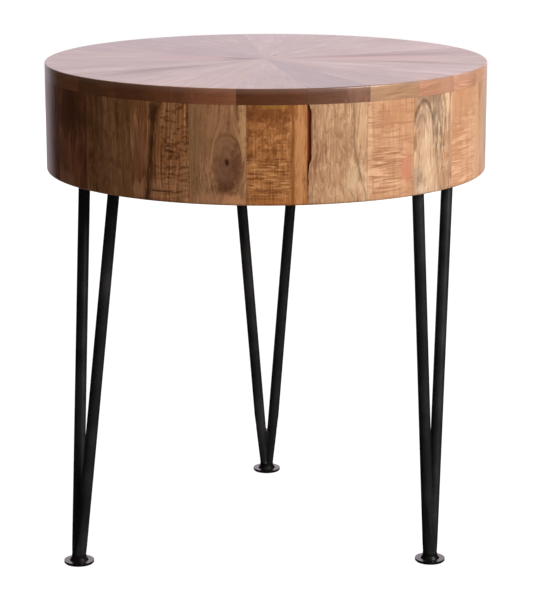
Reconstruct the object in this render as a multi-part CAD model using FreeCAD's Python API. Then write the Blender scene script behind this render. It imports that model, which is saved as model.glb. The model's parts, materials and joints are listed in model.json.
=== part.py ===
import FreeCAD, Part
import math
import os

# Round accent table: a sunburst top on a ring of upright staves, standing on three legs of paired rod.
# Millimetres, +Z up, origin on the floor under the middle of the drum, the front faces -Y.
# Bearings are degrees in plan from the front, turning towards +X.

# Drum
table_height = 512.0
drum_diameter = 457.2
drum_depth = 112.0
top_thickness = 15.5
top_ease = 1.5
ring_ease = 2.5

# Wedges of the top: joints are hand-cut, so they wander in waves round the circle
wedge_count = 24
wedge_first_bearing = 8.2
wedge_wander_angle = 2.5
wedge_waves = 3
wedge_calm_bearing = -5.0

# Staves of the ring: their joints wander in long waves and flutter in small quick ones
stave_count = 24
stave_thickness = 20.0
stave_first_bearing = 9.5
stave_wander_angle = -1.24
stave_waves = 2
stave_calm_bearing = 25.3
stave_flutter_angle = -0.56
flutter_waves = 8
flutter_calm_bearing = -8.75

# Joint that has opened from its top end, on the stave after it: a mouth, a wide stretch, a narrow tail
open_stave = 0
gap_mouth_width = 2.0
gap_shoulder_length = 7.0
gap_width = 4.0
gap_wide_length = 45.0
gap_waist_length = 5.0
gap_tail_width = 2.2
gap_tail_length = 18.0
gap_depth = 3.2

# Boards inside the ring
sub_top_thickness = 12.0
rebate_depth = 8.0
bottom_thickness = 12.0
bottom_recess = 9.0
croze_depth = 6.0
board_play = 0.3
croze_play = 0.2

# Legs: each foot lands a little out from its plate, and the three were bent by hand and don't quite match
leg_names = ("back", "left", "right")
leg_bearings = (180.0, 300.0, 60.0)
foot_splays = (17.5, 29.5, 5.5)
foot_sways = (0.0, -4.5, -4.8)
rod_diameter = 12.0
rod_inset = 12.0
rod_top_spread = 34.4
rod_foot_spread = 3.5
grind_length = 58.0
weld_height = 40.0
weld_inset = 1.4

# Feet
foot_diameter = 31.0
foot_thickness = 3.2
foot_bevel = 1.0
flare_diameter = 20.0
flare_height = 6.5
flare_waist_diameter = 15.6
flare_waist_height = 2.9
neck_diameter = 14.8

# Leg plates
plate_thickness = 4.0
plate_length = 75.0
plate_side = 11.6
plate_corner = 9.0
plate_gap = 3.0
hole_edge = 11.0
hole_to_rod = 21.0

# Wood screws
screw_diameter = 4.5
screw_grip = 8.0
screw_head_diameter = 9.0
screw_head_height = 2.8
hole_play = 0.25
tip_play = 1.0

# Room that cutting tools run past the stock
over = 10.0

# Worked out from the sizes above
drum_radius = drum_diameter / 2
ring_top = table_height - top_thickness
ring_bottom = table_height - drum_depth
ring_inside = drum_radius - stave_thickness
rebate_floor = ring_top - sub_top_thickness
bottom_under = ring_bottom + bottom_recess
plate_under = bottom_under - plate_thickness
plate_edge = ring_inside - plate_gap
plate_inner = plate_edge - plate_length
plate_half = rod_top_spread + plate_side
rod_top_reach = plate_edge - rod_inset
rod_radius = rod_diameter / 2
weld_thickness = rod_diameter - 2 * weld_inset
foot_height = foot_thickness + flare_height
hole_radius = screw_diameter / 2 + hole_play
origin = FreeCAD.Vector(0, 0, 0)
up = FreeCAD.Vector(0, 0, 1)


def plan_point(bearing, reach, z=0.0):
    angle = math.radians(bearing)
    return FreeCAD.Vector(reach * math.sin(angle), -reach * math.cos(angle), z)


def disc(radius, bottom, height):
    return Part.makeCylinder(radius, height, FreeCAD.Vector(0, 0, bottom))


def prism(corners, run):
    return Part.Face(Part.makePolygon(corners + corners[:1])).extrude(run)


def eased_disc(radius, bottom, height, ease, at_top):
    blank = disc(radius, bottom, height)
    halfway = bottom + height / 2
    if at_top:
        rim = [edge for edge in blank.Edges if edge.BoundBox.ZMin > halfway]
    else:
        rim = [edge for edge in blank.Edges if edge.BoundBox.ZMax < halfway]
    return blank.makeFillet(ease, rim)


def turned(edges):
    return Part.Face(Part.Wire(edges)).revolve(origin, up, 360)


def lines(points):
    return [Part.LineSegment(one, two).toShape() for one, two in zip(points, points[1:])]


def plan_axes(bearing):
    outward = plan_point(bearing, 1.0)
    return outward, up.cross(outward)


def wander(bearing, angle, waves, calm):
    return angle * math.sin(math.radians(waves * (bearing - calm)))


def joint_bearings(count, first, wanders):
    # One more joint than pieces: the last is the first again, a turn later
    even = [first + 360.0 * index / count for index in range(count + 1)]
    return [bearing + sum(wander(bearing, *each) for each in wanders) for bearing in even]


def top_wedges():
    panel = eased_disc(drum_radius, ring_top, top_thickness, top_ease, at_top=True)
    joints = joint_bearings(wedge_count, wedge_first_bearing,
                            [(wedge_wander_angle, wedge_waves, wedge_calm_bearing)])
    reach = 2 * drum_radius
    wedges = []
    for start, end in zip(joints, joints[1:]):
        corners = [up * ring_top, plan_point(start, reach, ring_top), plan_point(end, reach, ring_top)]
        wedges.append(panel.common(prism(corners, up * top_thickness)))
    return wedges


def open_joint(bearing):
    # The outline runs down the gap's far side, and its near side stands clear of the joint
    outward, sideways = plan_axes(bearing)
    shoulder = ring_top - gap_shoulder_length
    waist = shoulder - gap_wide_length
    tail = waist - gap_waist_length
    outline = ((-over, ring_top + over), (gap_mouth_width, ring_top + over), (gap_mouth_width, ring_top),
               (gap_width, shoulder), (gap_width, waist), (gap_tail_width, tail),
               (0, tail - gap_tail_length), (-over, tail - gap_tail_length))
    floor = outward * (drum_radius - gap_depth)
    corners = [floor + sideways * side + up * z for side, z in outline]
    return prism(corners, outward * (gap_depth + over))


def staves():
    ring_height = ring_top - ring_bottom
    blank = eased_disc(drum_radius, ring_bottom, ring_height, ring_ease, at_top=False)
    # Rebate for the sub-top, and the croze that the bottom board's edge sits in
    blank = blank.cut(disc(ring_inside + rebate_depth, rebate_floor, sub_top_thickness + over))
    blank = blank.cut(disc(ring_inside + croze_depth, bottom_under, bottom_thickness + croze_play))
    joints = joint_bearings(stave_count, stave_first_bearing,
                            [(stave_wander_angle, stave_waves, stave_calm_bearing),
                             (stave_flutter_angle, flutter_waves, flutter_calm_bearing)])
    reach = 2 * drum_radius
    pieces = []
    for index, (start, end) in enumerate(zip(joints, joints[1:])):
        # The inner face is left flat, so it is nearest the axis at the middle of the stave
        corner = ring_inside / math.cos(math.radians(end - start) / 2)
        corners = [plan_point(start, corner, ring_bottom), plan_point(start, reach, ring_bottom),
                   plan_point(end, reach, ring_bottom), plan_point(end, corner, ring_bottom)]
        stave = blank.common(prism(corners, up * ring_height))
        if index == open_stave:
            stave = stave.cut(open_joint(start))
        pieces.append(stave)
    return pieces


def sub_top():
    return disc(ring_inside + rebate_depth - board_play, rebate_floor, sub_top_thickness)


def screw_spots(bearing):
    # Two rows of two on each plate, both rows inboard of the rods
    outward, sideways = plan_axes(bearing)
    side = plate_half - hole_edge
    rows = (rod_top_reach - hole_to_rod, plate_inner + hole_edge)
    return [outward * row + sideways * (side * sign) for row in rows for sign in (-1, 1)]


def bottom_board():
    board = disc(ring_inside + croze_depth - board_play, bottom_under, bottom_thickness)
    for bearing in leg_bearings:
        for spot in screw_spots(bearing):
            pilot = disc(hole_radius, bottom_under, screw_grip + tip_play)
            board = board.cut(pilot.translated(spot))
    return board


def leg_plate(bearing):
    outward, sideways = plan_axes(bearing)
    outer = plate_edge + over
    outline = ((plate_inner, -plate_half), (outer, -plate_half),
               (outer, plate_half), (plate_inner, plate_half))
    corners = [outward * reach + sideways * side + up * plate_under for reach, side in outline]
    plate = prism(corners, up * plate_thickness)
    inner_corners = [edge for edge in plate.Edges
                     if edge.BoundBox.ZLength > plate_thickness / 2
                     and edge.CenterOfMass.dot(outward) < rod_top_reach]
    plate = plate.makeFillet(plate_corner, inner_corners)
    # The outer edge follows the ring
    plate = plate.common(disc(plate_edge, plate_under, plate_thickness))
    for spot in screw_spots(bearing):
        plate = plate.cut(disc(hole_radius, plate_under, plate_thickness).translated(spot))
    return plate


def leg_screws():
    # Plain pan heads under the plates, shanks up through them into the board
    head = disc(screw_head_diameter / 2, plate_under - screw_head_height, screw_head_height)
    shank = disc(screw_diameter / 2, plate_under, plate_thickness + screw_grip)
    screw = head.fuse(shank)
    spots = [spot for bearing in leg_bearings for spot in screw_spots(bearing)]
    return Part.makeCompound([screw.translated(spot) for spot in spots])


def foot_centre(bearing, splay, sway):
    outward, sideways = plan_axes(bearing)
    return outward * (rod_top_reach + splay) + sideways * sway


def foot(centre):
    half = foot_diameter / 2
    # The flare draws in quickly to its waist, then slowly up to the neck
    profile = ((0, 0), (half - foot_bevel, 0), (half, foot_bevel), (half, foot_thickness),
               (flare_diameter / 2, foot_thickness),
               (flare_waist_diameter / 2, foot_thickness + flare_waist_height),
               (neck_diameter / 2, foot_height), (0, foot_height), (0, 0))
    return turned(lines([FreeCAD.Vector(reach, 0, z) for reach, z in profile])).translated(centre)


def rod_pair(bearing, centre):
    # Worked in the leg's own frame, neck at the origin and Z up its middle line, then stood in place
    outward, sideways = plan_axes(bearing)
    low = centre + up * foot_height
    high = outward * rod_top_reach + up * plate_under
    length = low.distanceToPoint(high)
    lean = (rod_top_spread - rod_foot_spread) / length
    wide = rod_top_spread + rod_diameter
    # Both ends run past the planes that cut them level with the foot and the plate
    spare = rod_diameter
    # The low ends are ground to a cone that runs from the neck out to the rods' own sides
    neck = neck_diameter / 2
    grind_reach = rod_foot_spread + lean * grind_length + rod_radius
    profile = ((0, -spare), (neck, -spare), (neck, 0), (grind_reach, grind_length),
               (wide, grind_length), (wide, length + spare), (0, length + spare), (0, -spare))
    envelope = turned(lines([FreeCAD.Vector(reach, 0, z) for reach, z in profile]))
    pieces = []
    for side in (-1, 1):
        base = FreeCAD.Vector(0, side * (rod_foot_spread - lean * spare), -spare)
        run = FreeCAD.Vector(0, side * lean, 1)
        rod = Part.makeCylinder(rod_radius, (length + 2 * spare) * run.Length, base, run)
        # Each rod keeps to its own side of the leg, so the pair meets face to face
        own_side = Part.makeBox(2 * wide, wide, length + 4 * spare,
                                FreeCAD.Vector(-wide, min(0, side * wide), -2 * spare))
        pieces.append(rod.common(own_side).common(envelope))
    # The weld fills the V from the foot up, out to where its top corners meet the rods
    weld_half = rod_foot_spread + lean * weld_height - math.sqrt(rod_radius ** 2 - weld_thickness ** 2 / 4)
    weld = Part.makeBox(weld_thickness, 2 * weld_half, weld_height,
                        FreeCAD.Vector(-weld_thickness / 2, -weld_half, 0))
    pieces.append(weld.cut(pieces))
    axis_z = (high - low).normalize()
    axis_x = sideways.cross(axis_z).normalize()
    axis_y = axis_z.cross(axis_x)
    place = FreeCAD.Matrix(axis_x.x, axis_y.x, axis_z.x, low.x,
                           axis_x.y, axis_y.y, axis_z.y, low.y,
                           axis_x.z, axis_y.z, axis_z.z, low.z, 0, 0, 0, 1)
    between = disc(2 * drum_radius, foot_height, plate_under - foot_height)
    for piece in pieces:
        piece.Placement = FreeCAD.Placement(place)
    return Part.makeCompound([between.common(piece) for piece in pieces])


os.makedirs("parts", exist_ok=True)
shapes = {}
for index, wedge in enumerate(top_wedges(), 1):
    shapes[f"top_wedge_{index:02d}"] = wedge
for index, stave in enumerate(staves(), 1):
    shapes[f"stave_{index:02d}"] = stave
shapes["sub_top"] = sub_top()
shapes["bottom_board"] = bottom_board()
for name, bearing, splay, sway in zip(leg_names, leg_bearings, foot_splays, foot_sways):
    centre = foot_centre(bearing, splay, sway)
    shapes[f"{name}_leg_rods"] = rod_pair(bearing, centre)
    shapes[f"{name}_leg_plate"] = leg_plate(bearing)
    shapes[f"{name}_foot"] = foot(centre)
shapes["leg_screws"] = leg_screws()
for name, shape in shapes.items():
    shape.exportStep(f"parts/{name}.step")
    state = "valid" if shape.isValid() else "not valid"
    print(name, len(shape.Solids), "solids", round(shape.Volume), "mm3", state)
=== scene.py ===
import json
import math

import bpy
from mathutils import Matrix, Vector


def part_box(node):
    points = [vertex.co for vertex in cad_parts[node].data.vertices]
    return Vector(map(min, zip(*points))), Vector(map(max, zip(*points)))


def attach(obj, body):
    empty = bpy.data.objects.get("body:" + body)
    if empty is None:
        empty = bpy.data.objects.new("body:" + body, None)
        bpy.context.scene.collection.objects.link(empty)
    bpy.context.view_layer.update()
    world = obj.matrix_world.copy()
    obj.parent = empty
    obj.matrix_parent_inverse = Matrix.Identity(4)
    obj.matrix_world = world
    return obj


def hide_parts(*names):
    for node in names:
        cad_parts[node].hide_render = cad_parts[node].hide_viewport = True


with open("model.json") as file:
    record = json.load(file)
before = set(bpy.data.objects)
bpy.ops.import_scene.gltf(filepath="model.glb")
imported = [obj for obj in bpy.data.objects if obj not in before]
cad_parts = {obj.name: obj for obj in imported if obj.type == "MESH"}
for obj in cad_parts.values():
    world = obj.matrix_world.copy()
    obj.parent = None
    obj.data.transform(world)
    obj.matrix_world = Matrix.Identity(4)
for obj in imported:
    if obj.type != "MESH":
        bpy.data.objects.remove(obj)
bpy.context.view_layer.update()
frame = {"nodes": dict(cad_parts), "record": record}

scene = bpy.context.scene
nodes = frame["nodes"]
slotOf = {part["node"]: part["material_slot"] for part in frame["record"]["subparts"]}
mm = 0.001
noiseGain = 4.0    # most noise lies between a quarter and three quarters
white = (1.0, 1.0, 1.0, 1.0)
staveNames = sorted(name for name in nodes if name.startswith("stave_"))
wedgeNames = sorted(name for name in nodes if name.startswith("top_wedge_"))
legNames = ("back", "left", "right")
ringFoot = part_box(staveNames[1])[0].z    # lower end of the staves
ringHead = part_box(staveNames[1])[1].z
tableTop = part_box(wedgeNames[0])[1].z
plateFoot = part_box("left_leg_plate")[0].z    # underside of the leg plates
drumRadius = max(math.hypot(v.co.x, v.co.y) for v in nodes[staveNames[1]].data.vertices)
print("frame:", len(nodes), "nodes, drum radius", round(drumRadius, 4))


# Helpers for node trees

class Field:    # a value in a node tree, which plain arithmetic turns into Math nodes
    def __init__(self, socket):
        self.socket = socket

    def __add__(self, other):
        return calc("ADD", self, other)

    def __sub__(self, other):
        return calc("SUBTRACT", self, other)

    def __rsub__(self, other):
        return calc("SUBTRACT", other, self)

    def __mul__(self, other):
        return calc("MULTIPLY", self, other)

    def __truediv__(self, other):
        return calc("DIVIDE", self, other)

    def __rtruediv__(self, other):
        return calc("DIVIDE", other, self)

    def __neg__(self):
        return calc("MULTIPLY", self, -1.0)

    def __abs__(self):
        return calc("ABSOLUTE", self)

    __radd__ = __add__


def rgb(red, green, blue):    # a screen colour, 0 to 255, as the linear colour that nodes take
    shares = [value / 255 for value in (red, green, blue)]
    return tuple(s / 12.92 if s <= 0.04045 else ((s + 0.055) / 1.055) ** 2.4 for s in shares) + (1.0,)


def treeOf(values):    # the node tree that these values belong to
    return next(value.socket.id_data for value in values if isinstance(value, Field))


def feed(socket, value):
    if isinstance(value, Field):
        socket.id_data.links.new(value.socket, socket)
    else:
        socket.default_value = value


def feedAll(node, values):    # a label may hold _ for a space
    for label, value in values.items():
        feed(node.inputs[label.replace("_", " ")], value)


def addNode(tree, kind, **values):
    node = tree.nodes.new(kind)
    feedAll(node, values)
    return node


def output(tree, kind, label=0, **values):    # the first output of a new node, or the one with this label
    return Field(addNode(tree, kind, **values).outputs[label])


def calc(operation, *values, clamp=False):
    node = treeOf(values).nodes.new("ShaderNodeMath")
    node.operation = operation
    node.use_clamp = clamp
    for socket, value in zip(node.inputs, values):
        feed(socket, value)
    return Field(node.outputs[0])


def fade(value, start, end, low=0.0, high=1.0):    # low at start, high at end, smooth between
    node = treeOf([value]).nodes.new("ShaderNodeMapRange")
    node.interpolation_type = "SMOOTHSTEP"
    for socket, given in zip(node.inputs, (value, start, end, low, high)):
        feed(socket, given)
    return Field(node.outputs[0])


def fadeMm(value, limits):    # from 0 at the first limit to 1 at the second, limits in mm
    return fade(value, *(limit * mm for limit in limits))


def mixed(factor, first, second):
    node = treeOf([factor]).nodes.new("ShaderNodeMix")
    node.data_type = "RGBA"
    for index, value in ((0, factor), (6, first), (7, second)):    # the sockets that colours use
        feed(node.inputs[index], value)
    return Field(node.outputs[2])


def splitPoint(point):
    node = addNode(treeOf([point]), "ShaderNodeSeparateXYZ", Vector=point)
    return [Field(socket) for socket in node.outputs]


def joinPoint(tree, x=0.0, y=0.0, z=0.0):
    return output(tree, "ShaderNodeCombineXYZ", X=x, Y=y, Z=z)


def hypotenuse(first, second):
    return calc("SQRT", first * first + second * second)


def speckle(spot, seed, sizes, detail=2.0, rough=0.5):    # noise with features of these sizes
    tree = treeOf(spot)
    point = joinPoint(tree, *(value / size for value, size in zip(spot, sizes)))
    node = tree.nodes.new("ShaderNodeTexNoise")
    node.noise_dimensions = "4D"
    feedAll(node, {"Vector": point, "W": seed, "Scale": 1.0, "Detail": detail, "Roughness": rough})
    return Field(node.outputs["Fac"])


def swung(noise, reach):    # noise about a half, turned to a swing of about plus or minus the reach
    return (noise - 0.5) * noiseGain * reach


def makeGroup(name, inputs, outputs):    # inputs are label: default value, outputs are labels
    tree = bpy.data.node_groups.new(name, "ShaderNodeTree")
    for label, value in inputs.items():
        length = 1 if isinstance(value, float) else len(value)
        kind = {1: "NodeSocketFloat", 3: "NodeSocketVector", 4: "NodeSocketColor"}[length]
        tree.interface.new_socket(label, in_out="INPUT", socket_type=kind).default_value = value
    for label in outputs:
        kind = "NodeSocketColor" if label == "Color" else "NodeSocketFloat"
        tree.interface.new_socket(label, in_out="OUTPUT", socket_type=kind)
    return tree, groupInputs(tree)


def groupInputs(tree):
    return {socket.name: Field(socket) for socket in tree.nodes.new("NodeGroupInput").outputs}


def closeGroup(tree, **results):
    addNode(tree, "NodeGroupOutput", **results)
    return tree


def use(group, **values):
    node = treeOf(values.values()).nodes.new("ShaderNodeGroup")
    node.node_tree = group
    feedAll(node, values)
    return {socket.name: Field(socket) for socket in node.outputs}


def newMaterial(name):
    material = bpy.data.materials.new(name)
    material.use_nodes = True
    tree = material.node_tree
    return material, tree.nodes["Principled BSDF"], output(tree, "ShaderNodeTexCoord", "Object")


def bumped(shader, height, strength, distance):    # distance in mm
    feed(shader.inputs["Normal"], output(shader.id_data, "ShaderNodeBump", "Normal", Height=height,
                                         Strength=strength, Distance=distance * mm))


# Shared wood effects, each a node group. Places on a board are in metres: across it from its middle,
# along its grain, and into its face. Noises have a size in metres for each of these.

onBoard = {"Across": 0.0, "Along": 0.0, "Seed": 0.0}
ovalMark = {**onBoard, "AtAcross": 0.0, "AtAlong": 0.0, "HalfWidth": 0.01, "HalfHeight": 0.02}


def faceNoise(given, sizes, **finer):    # the same at any depth under the face
    return speckle((given["Across"], given["Along"], 0.0), given["Seed"], sizes, **finer)


def ovalPlace(given):    # how far a point lies from an oval's middle, in half widths and half heights
    wide = (given["Across"] - given["AtAcross"]) / given["HalfWidth"]
    tall = (given["Along"] - given["AtAlong"]) / given["HalfHeight"]
    return wide, tall


def makeDrumPlace():    # where a point lies on the board whose middle is at this bearing from the front
    tree, given = makeGroup("drumPlace", {"Point": (0.0, 0.0, 0.0), "Bearing": 0.0, "HalfAngle": 0.13},
                            ("Across", "Side", "Radial", "Height", "Depth", "Edge"))
    turn = tree.nodes.new("ShaderNodeVectorRotate")
    turn.rotation_type = "Z_AXIS"
    feedAll(turn, {"Vector": given["Point"], "Angle": -given["Bearing"]})
    side, back, height = splitPoint(Field(turn.outputs[0]))
    radial = -back
    radius = hypotenuse(side, back)
    offset = calc("ARCTAN2", side, radial)
    spare = given["HalfAngle"] - abs(offset)
    return closeGroup(tree, Across=offset * drumRadius, Side=side, Radial=radial, Height=height,
                      Depth=drumRadius - radius, Edge=spare * radius)


grainShape = {"sway": (0.05, 0.11, 0.05), "swayReach": 0.0035, "darkToBody": (-0.1, 0.5),
              "bodyToPale": (0.45, 1.05), "poreEdge": (0.58, 0.72), "poreShade": 0.7}
grainShares = ("Contrast", "Stripe", "Fibre", "Pores", "Cloud", "Layer")
grainLayers = {    # sizes, step of the seed, detail, roughness
    "Stripe": ((0.0012, 0.06, 0.0012), 9.1, 1.0, 0.5),
    "Cloud": ((0.03, 0.06, 0.03), 7.3, 2.0, 0.5),
    "Fibre": ((0.0015, 0.022, 0.0015), 3.1, 3.0, 0.65),
    "Pores": ((0.0006, 0.011, 0.0006), 5.7, 1.0, 0.5),
}


def makeBoardGrain():    # plain figure of a board: streaks, stripes, clouds, fibres and pores
    inputs = {**onBoard, "Depth": 0.0, "Pale": white, "Body": white, "Dark": white, "StreakWidth": 0.005,
              "StreakLength": 0.1, **dict.fromkeys(grainShares, 0.5)}
    tree, given = makeGroup("boardGrain", inputs, ("Color", "Height"))
    seed, width = given["Seed"], given["StreakWidth"]
    across, along, depth = given["Across"], given["Along"], given["Depth"]
    sway = speckle((across, along, depth), seed, grainShape["sway"])
    spot = (across + swung(sway, grainShape["swayReach"]), along, depth)
    sizes = (width, given["StreakLength"], width * given["Layer"])
    noise = {"Contrast": speckle(spot, seed, sizes, detail=5.0, rough=0.64)}
    for label, (sizes, step, detail, rough) in grainLayers.items():
        noise[label] = speckle(spot, seed + step, sizes, detail, rough)
    tone = 0.5    # the body's own
    for label in ("Contrast", "Stripe", "Cloud", "Fibre"):
        tone = swung(noise[label], given[label]) + tone
    lower = mixed(fade(tone, *grainShape["darkToBody"]), given["Dark"], given["Body"])
    full = mixed(fade(tone, *grainShape["bodyToPale"]), lower, given["Pale"])
    pit = fade(noise["Pores"], *grainShape["poreEdge"]) * given["Pores"]
    return closeGroup(tree, Color=mixed(pit * grainShape["poreShade"], full, given["Dark"]),
                      Height=(noise["Contrast"] + noise["Fibre"]) * 0.5 - pit)


dashShape = {"curl": (0.011, 0.011, 0.011), "curlSteps": (6.2, 8.9), "hatch": (0.0016, 0.03, 0.0016),
             "hatchStep": 4.4, "hatchEdge": (0.58, 0.42, -1.0, 0.0), "bareLevel": 0.62, "coverDrop": 0.24}


def makeDashFigure():    # short marks, as ripple, curl and saw marks show, of this length across the board
    inputs = {**onBoard, "Depth": 0.0, "Length": 0.01, "Thickness": 0.002, "Cover": 0.5, "Hatch": 0.5,
              "Blur": 0.08, "Swirl": 0.0}
    tree, given = makeGroup("dashFigure", inputs, ("Mask",))
    seed, depth = given["Seed"], given["Depth"]
    spot = (given["Across"], given["Along"], depth)
    bent = []
    for value, step in zip(spot, dashShape["curlSteps"]):
        curl = speckle(spot, seed + step, dashShape["curl"])
        bent.append(value + swung(curl, given["Swirl"]))
    sizes = (given["Length"], given["Thickness"], given["Length"])
    marks = speckle((*bent, depth), seed, sizes, rough=0.55)
    hatch = speckle(spot, seed + dashShape["hatchStep"], dashShape["hatch"])
    start = dashShape["bareLevel"] - given["Cover"] * dashShape["coverDrop"]
    broken = fade(hatch, *dashShape["hatchEdge"]) * given["Hatch"]
    return closeGroup(tree, Mask=fade(marks, start, start + given["Blur"]) * (broken + 1.0))


windowEdge = {"ragged": (0.006, 0.02, 0.01), "raggedShare": 0.35}


def makeSoftWindow():    # 1 inside a rough-edged rectangle of the board's face
    inputs = {**onBoard, "Left": -1.0, "Right": 1.0, "Low": -1.0, "High": 1.0, "Soft": 0.004}
    tree, given = makeGroup("softWindow", inputs, ("Mask",))
    shift = swung(faceNoise(given, windowEdge["ragged"]), given["Soft"] * windowEdge["raggedShare"])
    mask = 1.0
    for label, low, high in (("Across", "Left", "Right"), ("Along", "Low", "High")):
        place = given[label] + shift
        for gap in (place - given[low], given[high] - place):
            mask = fade(gap / given["Soft"], -0.5, 0.5) * mask
    return closeGroup(tree, Mask=mask)


lineShape = {"wave": (1.0, 0.022, 1.0), "broken": (0.002, 0.012, 0.01), "brokenEdge": (0.3, 0.55, 0.4, 1.0)}


def makeGrainLine():    # one wandering line along the grain, upright above its kink and leaning below it
    inputs = {**onBoard, "At": 0.0, "Lean": 0.0, "Kink": 0.096, "Width": 0.001, "Wander": 0.002}
    tree, given = makeGroup("grainLine", inputs, ("Mask",))
    wave = speckle((0.0, given["Along"], 0.0), given["Seed"], lineShape["wave"])
    below = calc("MINIMUM", given["Along"] - given["Kink"], 0.0)
    path = below * given["Lean"] + given["At"] + swung(wave, given["Wander"])
    broken = fade(faceNoise(given, lineShape["broken"]), *lineShape["brokenEdge"])
    return closeGroup(tree, Mask=fade(abs(given["Across"] - path), given["Width"], 0.0) * broken)


patchShape = {"grainWidth": 0.004, "grainDepth": 0.01, "raggedReach": 0.7, "edge": 0.8}


def makeSoftPatch():    # a soft stain of ragged oval outline
    tree, given = makeGroup("softPatch", {**ovalMark, "Streak": 0.013, "Blur": 0.4}, ("Mask",))
    sizes = (patchShape["grainWidth"], given["Streak"], patchShape["grainDepth"])
    ragged = faceNoise(given, sizes, detail=3.0, rough=0.6)
    away = hypotenuse(*ovalPlace(given)) + swung(ragged, patchShape["raggedReach"])
    edge, blur = patchShape["edge"], given["Blur"]
    return closeGroup(tree, Mask=fade(away, edge + blur, edge - blur))


knotShape = {"ragged": (0.009, 0.02, 0.01), "raggedReach": 0.1, "hold": 0.12, "mostPull": 0.99,
             "rings": (1.2, 0.6), "outer": (0.14, 0.02), "tilt": 0.7, "strong": (-0.8, 0.5, 0.2, 1.0),
             "heart": (0.2, 0.04), "shade": (1.05, 0.7)}    # in half sizes of the knot, the noise in metres


def makeKnotFigure():    # a knot: an outer ring, faint rings inside it, a small heart, the grain led round it
    tree, given = makeGroup("knotFigure", {**ovalMark, "RingCount": 3.0},
                            ("Bent", "Rings", "Outer", "Heart", "Shade"))
    wide, tall = ovalPlace(given)
    away = hypotenuse(wide, tall) + swung(faceNoise(given, knotShape["ragged"]), knotShape["raggedReach"])
    pull = calc("MINIMUM", 1.0 / (away * away + knotShape["hold"]), knotShape["mostPull"])
    wave = calc("SINE", away * given["RingCount"] * math.tau) * 0.5 + 0.5
    ring = fade(abs(away - 1.0), *knotShape["outer"])
    strong = fade(wide * knotShape["tilt"] + tall, *knotShape["strong"])    # up and to the right
    return closeGroup(
        tree,
        Bent=(given["Across"] - given["AtAcross"]) * (1.0 - pull) + given["AtAcross"],
        Rings=wave * fade(away, *knotShape["rings"]), Outer=ring * strong,
        Heart=fade(away, *knotShape["heart"]), Shade=fade(away, *knotShape["shade"]),
    )


archShape = {"ragged": (0.007, 0.014, 0.01), "raggedReach": 0.12, "core": 0.2, "faint": (0.003, 0.006, 0.01),
             "faintStep": 2.6, "faintEdge": (0.34, 0.54, 0.45, 1.0), "legs": (-2.4, -1.0)}


def makeArchFigure():    # one arch, where a board is cut flat through its rings
    tree, given = makeGroup("archFigure", {**ovalMark, "Width": 0.002}, ("Mask",))
    wide, tall = ovalPlace(given)
    level = wide * wide + tall + swung(faceNoise(given, archShape["ragged"]), archShape["raggedReach"])
    slope = hypotenuse(wide * 2.0 / given["HalfWidth"], 1.0 / given["HalfHeight"])
    drawn = fade(abs(level) / slope, given["Width"], given["Width"] * archShape["core"])
    faint = faceNoise({**given, "Seed": given["Seed"] + archShape["faintStep"]}, archShape["faint"])
    legs = fade(tall, *archShape["legs"])    # they die away
    return closeGroup(tree, Mask=drawn * fade(faint, *archShape["faintEdge"]) * legs)


drumPlace = makeDrumPlace()
boardGrain = makeBoardGrain()
dashFigure = makeDashFigure()
softWindow = makeSoftWindow()
grainLine = makeGrainLine()
softPatch = makeSoftPatch()
knotFigure = makeKnotFigure()
archFigure = makeArchFigure()
print("wood effects ready")


# Marks on a board. Colours are screen colours, places are millimetres across from the board's middle and up
# from its lower end (out from the table's middle on a wedge, above the floor on a wedge's rim).

def inMetres(**sizes):
    return {label: size * mm for label, size in sizes.items()}


def oval(x, up, wide, tall):    # its middle and its half sizes
    return inMetres(AtAcross=x, AtAlong=up, HalfWidth=wide, HalfHeight=tall)


def patch(x, up, wide, tall, tint, strength=0.6, dull=0.0):    # dull thins the lacquer over it
    return {"sizes": oval(x, up, wide, tall), "tint": tint, "strength": strength, "dull": dull}


def dash(length, thickness, cover, tint, strength=0.7, across=(-40, 40), up=(-10, 110), blur=0.08, hatch=0.3,
         swirl=0.0, soft=8.0):    # many short marks, in a window of the board
    sizes = inMetres(Length=length, Thickness=thickness, Swirl=swirl)
    window = inMetres(Left=across[0], Right=across[1], Low=up[0], High=up[1], Soft=soft)
    return {"sizes": {**sizes, "Cover": cover, "Blur": blur, "Hatch": hatch}, "window": window, "tint": tint,
            "strength": strength}


def line(at, width, tint, strength=0.7, lean=0.0, kink=96, wander=1.0):
    sizes = inMetres(At=at, Kink=kink, Width=width, Wander=wander)
    return {"sizes": {**sizes, "Lean": lean}, "tint": tint, "strength": strength}


def arch(x, up, wide, tall, width, tint, strength):
    return {"sizes": {**oval(x, up, wide, tall), "Width": width * mm}, "tint": tint, "strength": strength}


def knot(x, up, wide, tall, rings, strength, tint, fill, heart, fillStrength=0.85, outerStrength=0.55):
    return {"sizes": {**oval(x, up, wide, tall), "RingCount": rings}, "strength": strength, "tint": tint,
            "fill": fill, "heart": heart, "fillStrength": fillStrength, "outerStrength": outerStrength}


plainGrain = dict(stripe=0.0, fibre=0.3, pores=0.5, cloud=0.4, layer=1.0)
plainLook = dict(
    plainGrain, streakWidth=5.0, streakLength=90.0, contrast=0.7, fibre=0.35, cloud=0.3, patchStreak=13.0,
    patchBlur=0.4, patches=(), dashes=(), lines=(), arches=(), knot=None, open=False,
)
plainWedge = dict(
    plainLook, streakWidth=6.0, streakLength=130.0, contrast=0.55, fibre=0.2, cloud=0.45, layer=0.3,
    patchStreak=110.0, patchBlur=0.75, rimPatches=(), rim=None,
)

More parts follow.
